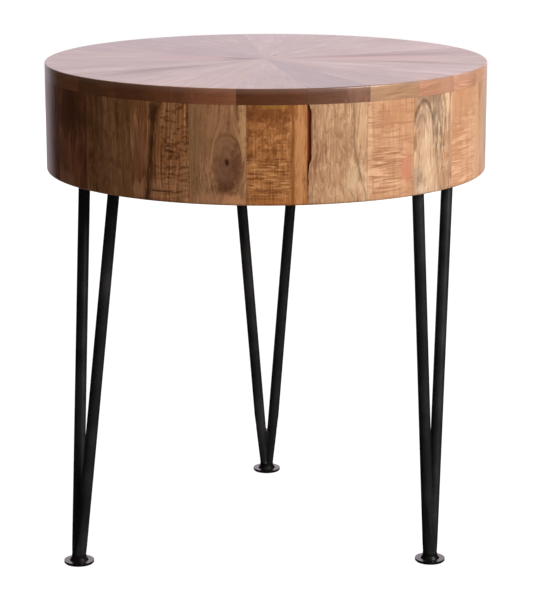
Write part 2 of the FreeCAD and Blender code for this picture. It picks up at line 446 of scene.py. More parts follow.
woodTones = {    # pale, body and dark
    "wood_dark": ((134, 82, 54), (106, 60, 37), (66, 34, 20)),
    "wood_red": ((162, 102, 72), (130, 77, 51), (86, 46, 28)),
    "wood_orange": ((226, 172, 126), (202, 144, 100), (154, 98, 58)),
    "wood_tan": ((214, 172, 132), (184, 139, 98), (130, 90, 56)),
    "wood_pale": ((234, 202, 164), (212, 174, 134), (160, 120, 84)),
    "wood_olive": ((182, 140, 100), (148, 108, 72), (98, 66, 41)),
}

staveLooks = {    # by the stave's number, tones are pale, body and dark
    1: dict(    # tan, short curling streaks, a grey line that leans out below mid height
        tones=((212, 172, 134), (185, 140, 103), (138, 94, 62)),
        streakWidth=1.8, streakLength=24.0, contrast=0.55, stripe=0.15, cloud=0.5, open=True,
        patches=[
            patch(3, 62, 11, 26, (160, 114, 78), 0.55),
            patch(15, 25, 8, 22, (216, 184, 146)),
            patch(28, 14, 7, 24, (224, 184, 150), 0.75),
            patch(25, 66, 5, 40, (216, 178, 138), 0.5),
            patch(7.5, 46, 5, 40, (158, 114, 80), 0.4),
            patch(-29.8, 17, 1.3, 12, (74, 36, 22), 0.9),    # crack below the gap
        ],
        dashes=[
            dash(3.4, 12, 0.5, (142, 98, 66), 0.6, across=(-40, 16), blur=0.16, swirl=5.0),
            dash(3.6, 11, 0.5, (220, 182, 146), 0.5, blur=0.2, swirl=4.0),
        ],
        lines=[line(16.1, 2.0, (130, 104, 76), 0.8, lean=-0.25, kink=55)],
    ),
    2: dict(    # light orange-tan, soft ripples square to the grain in its lower half
        tones=((220, 172, 134), (200, 150, 112), (170, 116, 82)),
        streakWidth=6.0, contrast=0.5, pores=0.3,
        patches=[
            patch(6, 82, 16, 17, (186, 130, 90)),
            patch(-8, 79, 10, 14, (178, 124, 86)),
            patch(-16, 27, 13, 15, (230, 182, 144)),
            patch(17, 30, 8.5, 15, (194, 124, 96), 0.75),
            patch(-25, 48, 3.5, 60, (222, 182, 146)),
        ],
        dashes=[
            dash(28, 2.6, 0.45, (176, 118, 82), 0.6, blur=0.14, hatch=0.0),
            dash(26, 3.4, 0.5, (172, 116, 78), 0.55, across=(-24, 12), up=(30, 76), blur=0.16, hatch=0.0),
            dash(26, 1.9, 0.5, (152, 96, 64), across=(-25, 14), up=(6, 54), blur=0.1, hatch=0.1, soft=12.0),
            dash(24, 1.5, 0.42, (230, 186, 148), 0.65, across=(-25, 16), up=(6, 54), blur=0.12,
                 hatch=0.0, soft=12.0),
            dash(8, 1.5, 0.5, (160, 108, 74), 0.55, across=(-24, -4), up=(68, 94), blur=0.12),
        ],
    ),
    3: dict(    # pale and spalted: a dark arch, a grey stain with strokes, brown blotches on the right
        tones=((224, 190, 160), (200, 162, 130), (142, 104, 76)),
        streakWidth=3.0, streakLength=50.0, pores=0.4,
        patches=[
            patch(-12, 94, 22, 9, (146, 110, 84), 0.75),
            patch(-17, 78, 12, 10, (166, 130, 104)),
            patch(3, 82, 9, 20, (150, 124, 102), 0.75),
            patch(21, 89, 8, 12, (238, 198, 164), 0.75),
            patch(-14, 49, 10, 17, (224, 190, 152), 0.5),
            patch(-25, 16, 6, 17, (172, 146, 122), 0.65),
            patch(-11, 16, 9, 22, (230, 196, 162)),
            patch(21, 50, 8, 13, (170, 122, 88)),
            patch(19, 35, 5, 8, (212, 138, 98), 0.7),
            patch(15, 12, 12, 16, (170, 124, 90), 0.5),
            patch(-28, 51, 3.5, 9, (156, 108, 68), 0.8),
            patch(-29, 88, 4.5, 13, (174, 116, 70), 0.65),
            patch(-27, 66, 5, 6, (226, 178, 140), 0.7),
            patch(13, 37, 9, 10, (176, 132, 96), 0.45),
            patch(1, 19, 9, 7, (192, 150, 114), 0.5),
            patch(-16, 6, 7, 7, (236, 204, 172)),
        ],
        dashes=[
            dash(7, 9, 0.5, (136, 112, 90), 0.6, across=(-4, 18), up=(62, 98), blur=0.2, hatch=0.0,
                 swirl=2.0),
            dash(2.2, 24, 0.6, (116, 94, 72), 0.85, across=(-5, 16), up=(36, 82), blur=0.14, hatch=0.0),
            dash(2.2, 12, 0.45, (232, 200, 166), 0.6, across=(-12, 22), up=(16, 80), blur=0.14, hatch=0.0),
            dash(4.5, 9, 0.5, (126, 102, 82), 0.45, across=(-32, -6), up=(-4, 32), blur=0.16, hatch=0.0,
                 swirl=2.0),
            dash(5, 9, 0.5, (148, 96, 66), 0.75, across=(9, 34), up=(-6, 40), blur=0.16, swirl=2.0),
        ],
        lines=[
            line(-2.3, 2.6, (122, 98, 76), 0.4, lean=-0.2, kink=62, wander=1.6),
            line(24, 2.4, (174, 118, 86), 0.6),
        ],
        arches=[
            arch(-15.5, 92.5, 11.5, 15, 3.0, (106, 82, 64), 0.8),
            arch(-18.5, 78, 6, 9, 2.6, (138, 110, 90), 0.6),
        ],
    ),
    4: dict(    # light orange, close even ripple
        tones=((228, 178, 142), (209, 157, 120), (184, 130, 96)),
        streakWidth=7.0, contrast=0.4, pores=0.25,
        patches=[
            patch(-20, 48, 16, 80, (190, 136, 100), 0.45),
            patch(24, 40, 12, 60, (236, 186, 148)),
        ],
        dashes=[
            dash(30, 1.9, 0.5, (180, 122, 86), 0.6, across=(-40, 22), up=(-6, 70), blur=0.13, hatch=0.0,
                 soft=14.0),
            dash(26, 1.7, 0.45, (238, 192, 156), 0.65, across=(-40, 26), up=(-6, 74), blur=0.13,
                 hatch=0.0, soft=14.0),
            dash(14, 4, 0.45, (194, 138, 102), 0.4, up=(56, 104), blur=0.16),
        ],
    ),
    5: dict(    # smooth and pale
        tones=((232, 186, 146), (216, 168, 132), (184, 134, 98)),
        streakWidth=7.0,
        patches=[
            patch(13, 46, 15, 75, (196, 164, 130), 0.7),
            patch(11, 32, 9, 14, (168, 138, 108)),
            patch(-29, 30, 6, 34, (236, 186, 146)),
        ],
    ),
    7: dict(    # red with one dark leaning streak
        lines=[line(0, 4.0, (74, 38, 22), 0.85, lean=0.08)],
        dashes=[dash(9, 2.2, 0.5, (72, 38, 22), across=(4, 34), up=(10, 60), hatch=0.6)],
    ),
    8: dict(stripe=0.5, patches=[patch(12, 70, 10, 22, (112, 76, 48))]),
    9: dict(    # rippled
        dashes=[
            dash(26, 2.2, 0.5, (170, 114, 74), 0.55, blur=0.16, hatch=0.0),
            dash(24, 1.9, 0.45, (232, 182, 138), 0.55, blur=0.16, hatch=0.0),
        ],
    ),
    10: dict(    # pale, arched, with a grey line
        arches=[
            arch(6, 90, 12, 20, 1.8, (112, 92, 74), 0.75),
            arch(5, 68, 9, 22, 1.4, (126, 104, 84), 0.6),
        ],
        lines=[line(-8, 1.4, (118, 98, 78), lean=0.2, kink=60)],
        patches=[patch(-16, 24, 10, 18, (176, 152, 126))],
    ),
    12: dict(    # tan with a knot
        knot=knot(-9, 58, 11, 21, rings=2.4, strength=0.28,
                  tint=(122, 80, 52), fill=(158, 112, 76), heart=(66, 36, 24)),
    ),
    14: dict(    # orange with close saw marks
        dashes=[
            dash(9, 2.0, 0.6, (132, 76, 38), across=(-20, 34), up=(8, 78), hatch=0.6),
            dash(8, 7, 0.45, (220, 162, 112), up=(50, 100), swirl=6.0),
        ],
    ),
    15: dict(    # olive with a small low knot
        knot=knot(7, 30, 9, 15, rings=2.0, strength=0.3,
                  tint=(100, 64, 42), fill=(126, 88, 58), heart=(56, 32, 21)),
    ),
    16: dict(    # pale with two grey lines
        lines=[
            line(4, 1.8, (114, 94, 76), 0.8, lean=-0.2, kink=70),
            line(11, 1.2, (126, 104, 84), lean=-0.15, kink=64),
        ],
        dashes=[dash(1.5, 8, 0.5, (122, 100, 80), across=(0, 20), up=(50, 97))],
    ),
    17: dict(dashes=[dash(24, 2.4, 0.5, (168, 112, 72), 0.55, blur=0.18, hatch=0.1)]),
    18: dict(dashes=[dash(3.2, 7, 0.5, (128, 88, 56), swirl=4.0)]),
    19: dict(tones=((170, 112, 78), (146, 88, 56), (104, 58, 34)), cloud=0.5),
    20: dict(    # deep brown, darkest in its upper half
        tones=((166, 108, 72), (134, 80, 46), (88, 44, 20)),
        streakWidth=7.0, cloud=0.5,
        patches=[
            patch(2, 76, 42, 27, (98, 54, 24), 0.75),
            patch(0, 20, 20, 22, (158, 98, 66), 0.45),
            patch(-14, 5, 24, 12, (178, 122, 90)),
        ],
    ),
    21: dict(    # olive-brown with soft flecks
        tones=((184, 134, 90), (152, 102, 60), (114, 70, 34)),
        contrast=0.6,
        patches=[patch(-24, 34, 5, 11, (98, 58, 24), 0.75)],
        dashes=[
            dash(8, 12, 0.5, (112, 70, 36), 0.5, blur=0.18, swirl=4.0),
            dash(6, 9, 0.45, (186, 136, 90), 0.45, blur=0.18, swirl=4.0),
        ],
        lines=[line(-21, 2.4, (124, 66, 26), 0.6)],
    ),
    22: dict(    # fine pale stripes, a broad dark streak that leans, rows of dark saw marks
        tones=((212, 150, 102), (164, 105, 60), (98, 54, 24)),
        contrast=0.5, stripe=0.4, pores=0.3,
        patches=[
            patch(-22, 50, 9, 26, (152, 102, 78), 0.45),
            patch(-17, 88, 20, 13, (124, 72, 40), 0.5),
            patch(-6, 89, 6, 12, (84, 46, 20), 0.8),
            patch(-18, 24, 6, 9, (112, 62, 34)),
            patch(-14, 11, 26, 14, (196, 138, 98), 0.75),
            patch(28, 24, 8, 44, (192, 140, 96), 0.5),
            patch(17, 78, 8, 24, (136, 82, 42), 0.4),
            patch(-4, 2, 26, 2.5, (132, 66, 34), 0.45),
        ],
        dashes=[
            dash(5.5, 3.2, 0.5, (84, 40, 14), across=(2, 36), up=(20, 97), blur=0.12),
            dash(4.5, 3, 0.45, (206, 138, 88), 0.28, across=(2, 34), up=(24, 92), blur=0.14),
            dash(5, 4, 0.6, (78, 36, 12), 0.8, across=(7, 29), up=(53.6, 57), blur=0.12, soft=2.0),
            dash(11, 4, 0.9, (74, 34, 10), 0.9, across=(8, 29), up=(48.6, 51.2), blur=0.12, soft=2.0),
            dash(7, 4, 0.85, (82, 40, 14), 0.8, across=(12, 29), up=(41.6, 45.6), blur=0.12, soft=2.6),
            dash(18, 3.0, 0.95, (84, 40, 14), 0.75, across=(-4, 32), up=(33.8, 36.2), blur=0.12, soft=2.0),
            dash(18, 3.0, 1.2, (80, 42, 16), 0.85, across=(-8, 24), up=(9.8, 11.8), hatch=0.1, soft=1.6),
            dash(18, 3.0, 1.2, (166, 132, 72), 0.6, across=(-8, 24), up=(7.4, 9.2), hatch=0.1, soft=1.6),
            dash(14, 1.6, 0.6, (96, 50, 20), 0.6, across=(-2, 34), up=(4, 30), blur=0.12),
        ],
        lines=[line(-2.6, 7.5, (88, 50, 20), 1.0, lean=0.115, wander=0.7)],
    ),
    23: dict(    # grey-brown with a large oval knot, dark to its right and below
        tones=((198, 150, 108), (164, 116, 78), (114, 72, 44)),
        streakWidth=2.8, contrast=0.45, stripe=0.25, patchStreak=5.0, patchBlur=0.55,
        patches=[
            patch(-21, 56, 10, 56, (140, 102, 66), 0.55),
            patch(-2, 76, 13, 24, (182, 132, 92), 0.5),
            patch(25, 76, 4.5, 29, (202, 156, 108), 0.75),
            patch(-9, 34, 7, 10, (196, 136, 102), 0.5),
            patch(18, 38, 5, 20, (102, 56, 36), 0.7),
            patch(8, 28, 15, 20, (108, 70, 46)),
            patch(7.5, 16.5, 11, 7, (84, 42, 24), 0.7),
            patch(4, 31, 6, 7, (138, 100, 76), 0.5),
            patch(-10, 4, 17, 8, (186, 128, 92)),
            patch(15, 4, 13, 7, (214, 150, 106)),
        ],
        dashes=[dash(2.4, 9, 0.45, (104, 68, 44), 0.65, across=(-36, -6), up=(10, 36))],
        knot=knot(9.5, 42, 14, 27, rings=2.8, strength=0.34,
                  tint=(112, 70, 46), fill=(146, 101, 72), heart=(62, 28, 16)),
    ),
    24: dict(    # orange-brown, close curled figure over bars square to the grain, a plain strip on the right
        tones=((206, 144, 90), (172, 110, 60), (120, 64, 26)),
        streakWidth=2.4, streakLength=30.0, contrast=0.4, stripe=0.2, open=True,
        patches=[
            patch(-24, 47, 5, 8, (108, 56, 24)),
            patch(-26, 90, 5, 12, (96, 50, 20)),
            patch(-26, 64, 4, 8, (120, 68, 32), 0.5),
            patch(-8, 88, 26, 11, (120, 64, 28), 0.75),
            patch(4, 76, 9, 11, (130, 74, 34)),
            patch(-16, 75, 6, 7, (196, 130, 76), 0.5),
            patch(0, 3, 30, 4, (188, 112, 54), 0.5),
            patch(22.5, 50, 6, 60, (204, 144, 92), 0.75),
        ],
        dashes=[
            dash(6, 5, 0.5, (114, 58, 22), across=(-36, 15), up=(40, 104), blur=0.16, swirl=4.0),
            dash(4, 4, 0.45, (220, 156, 100), 0.55, across=(-36, 15), up=(44, 80), blur=0.16, swirl=4.0),
            dash(26, 2.2, 0.5, (112, 58, 22), 0.6, across=(-36, 15), up=(-4, 76), blur=0.16),
            dash(14, 2.0, 0.6, (100, 50, 18), across=(-30, 14), up=(4, 46), blur=0.12, hatch=0.4),
            dash(16, 2.0, 0.5, (218, 160, 104), 0.75, across=(-27, 12), up=(10, 44), blur=0.12),
            dash(24, 2.0, 0.9, (164, 114, 46), across=(-18, 11), up=(92.5, 97), soft=2.0),
        ],
        lines=[line(15.1, 3.0, (128, 70, 30), 0.75, wander=0.5)],
    ),
}

centreStain = patch(0, 24, 7, 20, (138, 80, 24), 0.9, dull=0.3)
wedgeLooks = {    # face is the top's wood tone lightened as a painted sheen, rim the end grain round the edge, where the photo shows it
    1: dict(face=(152, 118, 98), rim=(109, 65, 42), rimPatches=[patch(20, 504, 15, 16, (150, 104, 82))]),
    2: dict(face=(178, 138, 108), rim=(172, 130, 96)),
    3: dict(
        face=(196, 152, 118), rim=(174, 124, 97),
        rimPatches=[patch(16, 504, 16, 18, (194, 144, 118), 0.75)],
    ),
    4: dict(face=(207, 166, 134), rim=(200, 148, 120)),
    5: dict(
        face=(196, 154, 118), rim=(218, 162, 128),
        patches=[
            patch(13, 130, 8.5, 95, (146, 104, 64), 0.8, dull=0.28),
            patch(-1, 34, 5, 13, (218, 130, 88), 0.8),
        ],
    ),
    6: dict(face=(204, 156, 118), patches=[patch(0, 105, 13, 66, (218, 150, 98), 0.75)]),
    7: dict(face=(186, 138, 100), patches=[patch(-2, 125, 11, 100, (158, 92, 22), 0.95, dull=0.28)]),
    8: dict(face=(202, 158, 124)),
    9: dict(face=(196, 152, 116)),
    10: dict(face=(194, 152, 120), patches=[patch(15, 150, 5, 9, (146, 98, 86))]),
    11: dict(face=(188, 146, 112), patches=[patch(-2.9, 32, 2, 7, (40, 24, 18), 1.0)]),
    12: dict(face=(192, 154, 126)),
    13: dict(face=(180, 140, 108)),
    14: dict(face=(168, 128, 98)),
    15: dict(face=(160, 118, 88)),
    16: dict(face=(168, 122, 88)),
    17: dict(face=(182, 136, 100), patches=[patch(0, 72, 11, 50, (200, 126, 74), 0.8), centreStain]),
    18: dict(face=(184, 138, 102), patches=[patch(0, 70, 11, 52, (200, 126, 74), 0.8), centreStain]),
    19: dict(face=(174, 130, 98), patches=[centreStain]),
    20: dict(
        face=(192, 150, 116), rim=(142, 88, 52),
        patches=[patch(13, 130, 6, 90, (136, 98, 58), 0.8, dull=0.28)],
    ),
    21: dict(
        face=(182, 140, 106), rim=(123, 76, 41),
        patches=[patch(-10, 125, 12, 105, (136, 92, 50), 0.85, dull=0.24)],
    ),
    22: dict(face=(198, 156, 122), rim=(120, 70, 38), rimPatches=[patch(26, 504, 16, 18, (136, 80, 46))]),
    23: dict(
        face=(198, 156, 120), rim=(140, 84, 54),
        rimPatches=[patch(-26, 504, 18, 18, (110, 62, 38), 0.7)],
    ),
    24: dict(face=(188, 148, 120), rim=(97, 52, 27)),
}

faceSwing = (0.13, 0.18, 0.34)    # how far red, green and blue swing from a wedge's own colour
# the rim's glow is a painted highlight: a pale pink tint along the rim's upper edge, where the rounded edge
# catches light
rimLook = dict(
    plainGrain, streakWidth=2.4, streakLength=26.0, contrast=0.38, cloud=0.25, pores=0.2, patchStreak=13.0,
    patchBlur=0.75, swing=(0.2, 0.2, 0.2), turn=(1.2, 0.3), glow=(7.0, 0.5), rimHighlightTint=(224, 190, 176),
    rimHighlightShare=0.12,
)    # streaks, turn and glow in mm
lacquer = {
    "roughness": 0.4, "grainRoughness": 0.12, "bump": (0.22, 0.4),    # strength, then mm
    "staveCoat": 0.6, "wedgeCoat": 0.8, "coatRoughness": 0.12, "staveShine": 0.2, "wedgeShine": 0.35,
}
joints = {
    "glueLine": (0.45, 0.0), "glueShade": 0.35, "seamShade": 0.25, "glue": (46, 26, 16),
    "gap": (150, 74, 46), "gapWidth": (5.0, 4.2), "gapDepth": (0.4, 1.4),
}    # line, width and depth in mm
seedStep = {    # keeps the noises of boards and marks apart
    "board": 3.17, "wedges": 100.0, "rim": 41.0, "patch": 2.3, "dash": 1.7, "line": 3.1,
}
rimShare = 0.9    # points farther out than this share of the radius belong to a board's outer end


def boardSpan(name):    # bearings of a board's two joints, in radians from the front
    spots = [v.co for v in nodes[name].data.vertices if math.hypot(v.co.x, v.co.y) > rimShare * drumRadius]
    first = math.atan2(spots[0].x, -spots[0].y)
    turns = [(math.atan2(spot.x, -spot.y) - first + math.pi) % math.tau - math.pi for spot in spots]
    return first + min(turns), first + max(turns)


def boardSpot(place, upright):    # across, along and into the board
    if upright:
        return place["Across"], place["Height"] - ringFoot, place["Depth"]
    return place["Side"], place["Radial"], tableTop - place["Height"]


def swungTones(body, swing):    # one colour, with a paler and a darker shade of itself
    pale = [min(value * (1 + share), 255) for value, share in zip(body, swing)]
    dark = [value * (1 - share) for value, share in zip(body, swing)]
    return pale, body, dark


def grainOf(spot, seed, tones, look):    # tones are pale, body and dark
    pale, body, dark = (rgb(*tone) for tone in tones)
    streaks = inMetres(StreakWidth=look["streakWidth"], StreakLength=look["streakLength"])
    shares = {label: look[label.lower()] for label in grainShares}
    return use(boardGrain, Across=spot[0], Along=spot[1], Depth=spot[2], Seed=seed,
               Pale=pale, Body=body, Dark=dark, **streaks, **shares)


def stained(color, mask, strength, tint):
    return mixed(mask * strength, color, rgb(*tint))


def markMasks(group, marks, spot, seed, step=0.0, key="sizes", **shared):    # where each mark shows
    masks = []
    for index, mark in enumerate(marks):
        figure = use(group, Across=spot[0], Along=spot[1], Seed=seed + step * index, **mark[key], **shared)
        masks.append(figure["Mask"])
    return masks


def patchMasks(patches, spot, seed, look):
    streak, blur = look["patchStreak"] * mm, look["patchBlur"]
    return markMasks(softPatch, patches, spot, seed, seedStep["patch"], Streak=streak, Blur=blur)


def painted(color, marks, masks):
    for mark, mask in zip(marks, masks):
        color = stained(color, mask, mark["strength"], mark["tint"])
    return color


def dulledCoat(weight, patches, masks):    # the lacquer is thinner over some streaks
    for mark, mask in zip(patches, masks):
        if mark["dull"]:
            weight = (1.0 - mask * mark["dull"]) * weight
    return weight


def paintFigure(spot, color, seed, look):    # dashes, then lines
    dashes, lines = look["dashes"], look["lines"]
    figures = markMasks(dashFigure, dashes, spot, seed, seedStep["dash"], Depth=spot[2])
    windows = markMasks(softWindow, dashes, spot, seed, seedStep["dash"], key="window")
    color = painted(color, dashes, [figure * window for figure, window in zip(figures, windows)])
    return painted(color, lines, markMasks(grainLine, lines, spot, seed, seedStep["line"]))


def paintKnot(color, figure, own):
    for part, share in (("Rings", own["strength"]), ("Outer", own["outerStrength"])):
        color = stained(color, figure[part], share, own["tint"])
    return stained(color, figure["Heart"], 1.0, own["heart"])


def paintRim(place, face, seed, look):    # the end grain shows round the rim
    tones = swungTones(look["rim"] or look["tones"][1], rimLook["swing"])
    spot = (place["Height"], place["Across"], place["Depth"])
    ends = grainOf(spot, seed + seedStep["rim"], tones, rimLook)["Color"]
    masks = patchMasks(look["rimPatches"], (place["Across"], place["Height"]), seed, rimLook)
    ends = painted(ends, look["rimPatches"], masks)
    # painted highlight: the rim is tinted paler towards the table top's rounded edge, where light catches it
    glow = fadeMm(tableTop - place["Height"], rimLook["glow"])
    ends = stained(ends, glow, rimLook["rimHighlightShare"], rimLook["rimHighlightTint"])
    return mixed(fadeMm(place["Depth"], rimLook["turn"]), face, ends)


def paintJoints(place, color, look):
    seam = abs(place["Height"] - ringHead)
    for gap, shade in ((place["Edge"], joints["glueShade"]), (seam, joints["seamShade"])):
        color = stained(color, fadeMm(gap, joints["glueLine"]), shade, joints["glue"])
    if look["open"]:    # the open joint is dark inside
        inside = fadeMm(place["Edge"], joints["gapWidth"]) * fadeMm(place["Depth"], joints["gapDepth"])
        color = stained(color, inside, 1.0, joints["gap"])
    return color


def boardMaterial(name, look, upright):
    start, end = boardSpan(name)
    seed = int(name[-2:]) * seedStep["board"] + (0.0 if upright else seedStep["wedges"])
    material, shader, point = newMaterial(name + "_wood")
    place = use(drumPlace, Point=point, Bearing=(start + end) / 2, HalfAngle=(end - start) / 2)
    spot = boardSpot(place, upright)
    led = spot
    ownKnot, patches = look["knot"], look["patches"]
    if ownKnot:    # leads the grain round it
        figure = use(knotFigure, Across=spot[0], Along=spot[1], Seed=seed, **ownKnot["sizes"])
        led = (figure["Bent"], *spot[1:])
    # a wedge's top takes its face colour: its wood tone, lightened as a painted sheen
    tones = look["tones"] if upright else swungTones(look["face"], faceSwing)
    grain = grainOf(led, seed, tones, look)
    color = grain["Color"]
    if ownKnot:
        color = stained(color, figure["Shade"], ownKnot["fillStrength"], ownKnot["fill"])
    masks = patchMasks(patches, spot, seed, look)
    color = painted(color, patches, masks)
    if upright:
        color = paintFigure(spot, color, seed, look)
    else:
        color = paintRim(place, color, seed, look)
    color = painted(color, look["arches"], markMasks(archFigure, look["arches"], spot, seed))
    if ownKnot:
        color = paintKnot(color, figure, ownKnot)
    coat, shine = ("staveCoat", "staveShine") if upright else ("wedgeCoat", "wedgeShine")
    dull = grain["Height"] * lacquer["grainRoughness"]
    feedAll(shader, {
        "Base Color": paintJoints(place, color, look),
        "Roughness": calc("ADD", dull, lacquer["roughness"], clamp=True),
        "Coat Weight": dulledCoat(lacquer[coat], patches, masks),
        "Coat Roughness": lacquer["coatRoughness"],
        "Specular IOR Level": lacquer[shine],
    })
    bumped(shader, grain["Height"], *lacquer["bump"])
    return material


def dress(name, material):
    slots = nodes[name].data.materials
    slots.clear()
    slots.append(material)


def dressBoards(names, plain, looks, upright):
    for name in names:
        look = {**plain, "tones": woodTones[slotOf[name]], **looks.get(int(name[-2:]), {})}
        dress(name, boardMaterial(name, look, upright))


dressBoards(staveNames, plainLook, staveLooks, upright=True)
dressBoards(wedgeNames, plainWedge, wedgeLooks, upright=False)
print("boards dressed:", len(staveNames), "staves and", len(wedgeNames), "wedges")


# Inner boards

innerBoard = dict(
    plainGrain, tones=((222, 190, 148), (204, 168, 124), (168, 130, 88)), streakWidth=9.0, streakLength=300.0,
    contrast=0.4, layer=0.2, seed=61.0, roughness=0.62, grainRoughness=0.1, bump=(0.3, 0.3),
)    # streaks in mm, bump as strength and mm


def innerBoardMaterial():
    material, shader, point = newMaterial("inner_board_wood")
    grain = grainOf(splitPoint(point), innerBoard["seed"], innerBoard["tones"], innerBoard)
    dull = grain["Height"] * innerBoard["grainRoughness"] + innerBoard["roughness"]
    feedAll(shader, {"Base Color": grain["Color"], "Roughness": dull})
    bumped(shader, grain["Height"], *innerBoard["bump"])
    return material


boardWood = innerBoardMaterial()
for name in ("sub_top", "bottom_board"):
    dress(name, boardWood)


# Steel of the legs

powderCoat = {"color": (29, 29, 30), "worn": (50, 49, 49), "roughness": 0.25, "varnish": 0.3,
              "peel": 0.9, "peelDepth": 0.05}    # mm
polishedCoat = {"color": (16, 16, 17), "worn": (30, 30, 30), "roughness": 0.16, "varnish": 0.8,
                "peel": 1.4, "peelDepth": 0.01}    # mm
coatFigure = {
    "cloud": (0.03, 0.03, 0.05), "cloudSeed": 2.0, "wornEdge": (0.4, 0.75), "peelSeed": 5.0, "peelBump": 0.35,
    "cloudRoughness": 0.16, "peelRoughness": 0.06, "varnishRoughness": 0.1,
}    # cloud in metres
zincPlate = {
    "color": (176, 178, 176), "stain": (120, 116, 106), "stainEdge": (0.5, 0.68), "roughness": 0.19,
    "crystalRoughness": 0.3, "crystal": 1.4, "seed": 3.0,
}    # crystal in mm


def coatMaterial(name, coat):
    material, shader, point = newMaterial(name)
    spot = splitPoint(point)
    cloud = speckle(spot, coatFigure["cloudSeed"], coatFigure["cloud"], detail=3.0, rough=0.6)
    peel = speckle(spot, coatFigure["peelSeed"], (coat["peel"] * mm,) * 3)
    dull = cloud * coatFigure["cloudRoughness"] + coat["roughness"] + peel * coatFigure["peelRoughness"]
    feedAll(shader, {
        "Base Color": mixed(fade(cloud, *coatFigure["wornEdge"]), rgb(*coat["color"]), rgb(*coat["worn"])),
        "Roughness": dull,
        "Coat Weight": coat["varnish"],
        "Coat Roughness": coatFigure["varnishRoughness"],
    })
    bumped(shader, peel, coatFigure["peelBump"], coat["peelDepth"])
    return material


def zincPlateMaterial():
    material, shader, point = newMaterial("bright_zinc_plate")
    sizes = (zincPlate["crystal"] * mm,) * 3
    crystal = speckle(splitPoint(point), zincPlate["seed"], sizes, detail=3.0, rough=0.6)
    stain = fade(crystal, *zincPlate["stainEdge"])
    feedAll(shader, {
        "Base Color": mixed(stain, rgb(*zincPlate["color"]), rgb(*zincPlate["stain"])),
        "Metallic": 1.0,
        "Roughness": crystal * zincPlate["crystalRoughness"] + zincPlate["roughness"],
    })
    return material


blackSteel = coatMaterial("black_powder_coat", powderCoat)
footSteel = coatMaterial("black_foot_coat", polishedCoat)
for leg in legNames:
    for part, steel in (("_leg_rods", blackSteel), ("_leg_plate", blackSteel), ("_foot", footSteel)):
        dress(leg + part, steel)
print("legs dressed")


# Screws and weld beads under the drum, made by Geometry Nodes

screwSetup = {
    "sizes": {"HeadWidth": 9.0, "HeadHeight": 2.8, "SlotLength": 5.0, "SlotWidth": 1.1, "SlotDepth": 1.6,
              "ShankWidth": 4.5, "ShankLength": 12.0},    # mm
    "crownRings": 10, "crownPower": 4.0, "crownDrop": 0.9, "headFacets": 28, "shankFacets": 16, "seed": 4,
}
weldSetup = {
    "sizes": {"BeadWidth": 3.4, "RippleLength": 2.2}, "ringWidth": 13.0, "rise": 0.9,    # mm
    "shares": {"Ripple": 0.22},    # of the bead's width
    "ringPoints": 32, "steps": 96, "facets": 10,
}
plateSlack = 0.1    # mm, a point within it of the plates' underside counts as at the plates
gatherReach = 1.5    # widths, within which points belong to one screw or one rod
sharpEdge = 40.0    # degrees


def gather(points, reach):    # middles in plan of groups of points that lie close together
    groups = []
    for point in points:
        near = next((group for group in groups if (group[0] - point).length < reach), None)
        if near:
            near.append(point)
        else:
            groups.append([point])
    return [(sum(group, Vector()) / len(group)).to_2d() for group in groups]


def makeTree(name, labels):    # a tree that takes a mesh, these values and a material
    tree = bpy.data.node_groups.new(name, "GeometryNodeTree")
    kinds = {"Geometry": "Geometry", "Seed": "Int", "Material": "Material"}
    for label in ("Geometry", *labels, "Material"):
        kind = "NodeSocket" + kinds.get(label, "Float")
        tree.interface.new_socket(label, in_out="INPUT", socket_type=kind)
    tree.interface.new_socket("Geometry", in_out="OUTPUT", socket_type="NodeSocketGeometry")
    return tree, groupInputs(tree)


def finishTree(tree, solid, material):
    whole = output(tree, "GeometryNodeRealizeInstances", Geometry=solid)
    dressed = output(tree, "GeometryNodeSetMaterial", Geometry=whole, Material=material)
    return closeGroup(tree, Geometry=dressed)


def raised(tree, solid, rise):
    return output(tree, "GeometryNodeTransform", Geometry=solid, Translation=joinPoint(tree, z=rise))


def makeScrewTree():    # pan heads with a cross recess, hung from the points, each turned by chance
    tree, given = makeTree("panHeadScrews", (*screwSetup["sizes"], "Seed"))
    deep = -given["HeadHeight"]    # below the plate
    axis = output(tree, "GeometryNodeCurvePrimitiveLine", End=joinPoint(tree, z=deep))
    axis = output(tree, "GeometryNodeResampleCurve", Curve=axis, Count=screwSetup["crownRings"])
    along = output(tree, "GeometryNodeSplineParameter", "Factor")
    crown = calc("SQRT", 1.0 - calc("POWER", along, screwSetup["crownPower"]) * screwSetup["crownDrop"])
    circle = output(tree, "GeometryNodeCurvePrimitiveCircle", Radius=1.0,
                    Resolution=screwSetup["headFacets"])
    head = output(tree, "GeometryNodeCurveToMesh", Curve=axis, Profile_Curve=circle,
                  Scale=given["HeadWidth"] * 0.5 * crown, Fill_Caps=True)
    cut = tree.nodes.new("GeometryNodeMeshBoolean")
    cut.operation = "DIFFERENCE"
    cut.solver = "EXACT"
    feed(cut.inputs["Mesh 1"], head)
    tall = given["SlotDepth"] * 2.0
    for wide, narrow in (("SlotLength", "SlotWidth"), ("SlotWidth", "SlotLength")):
        arm = output(tree, "GeometryNodeMeshCube", Size=joinPoint(tree, given[wide], given[narrow], tall))
        feed(cut.inputs["Mesh 2"], raised(tree, arm, deep))
    shank = output(tree, "GeometryNodeMeshCylinder", Vertices=screwSetup["shankFacets"],
                   Depth=given["ShankLength"], Radius=given["ShankWidth"] * 0.5)
    screw = addNode(tree, "GeometryNodeJoinGeometry", Geometry=Field(cut.outputs["Mesh"]))
    feed(screw.inputs["Geometry"], raised(tree, shank, given["ShankLength"] * 0.5))
    chance = tree.nodes.new("FunctionNodeRandomValue")
    chance.data_type = "FLOAT"
    feed(chance.inputs["Seed"], given["Seed"])
    turn = Field(next(socket for socket in chance.outputs if socket.enabled)) * math.tau
    spread = output(tree, "GeometryNodeInstanceOnPoints", Points=given["Geometry"],
                    Instance=Field(screw.outputs[0]), Rotation=joinPoint(tree, z=turn))
    return finishTree(tree, spread, given["Material"])


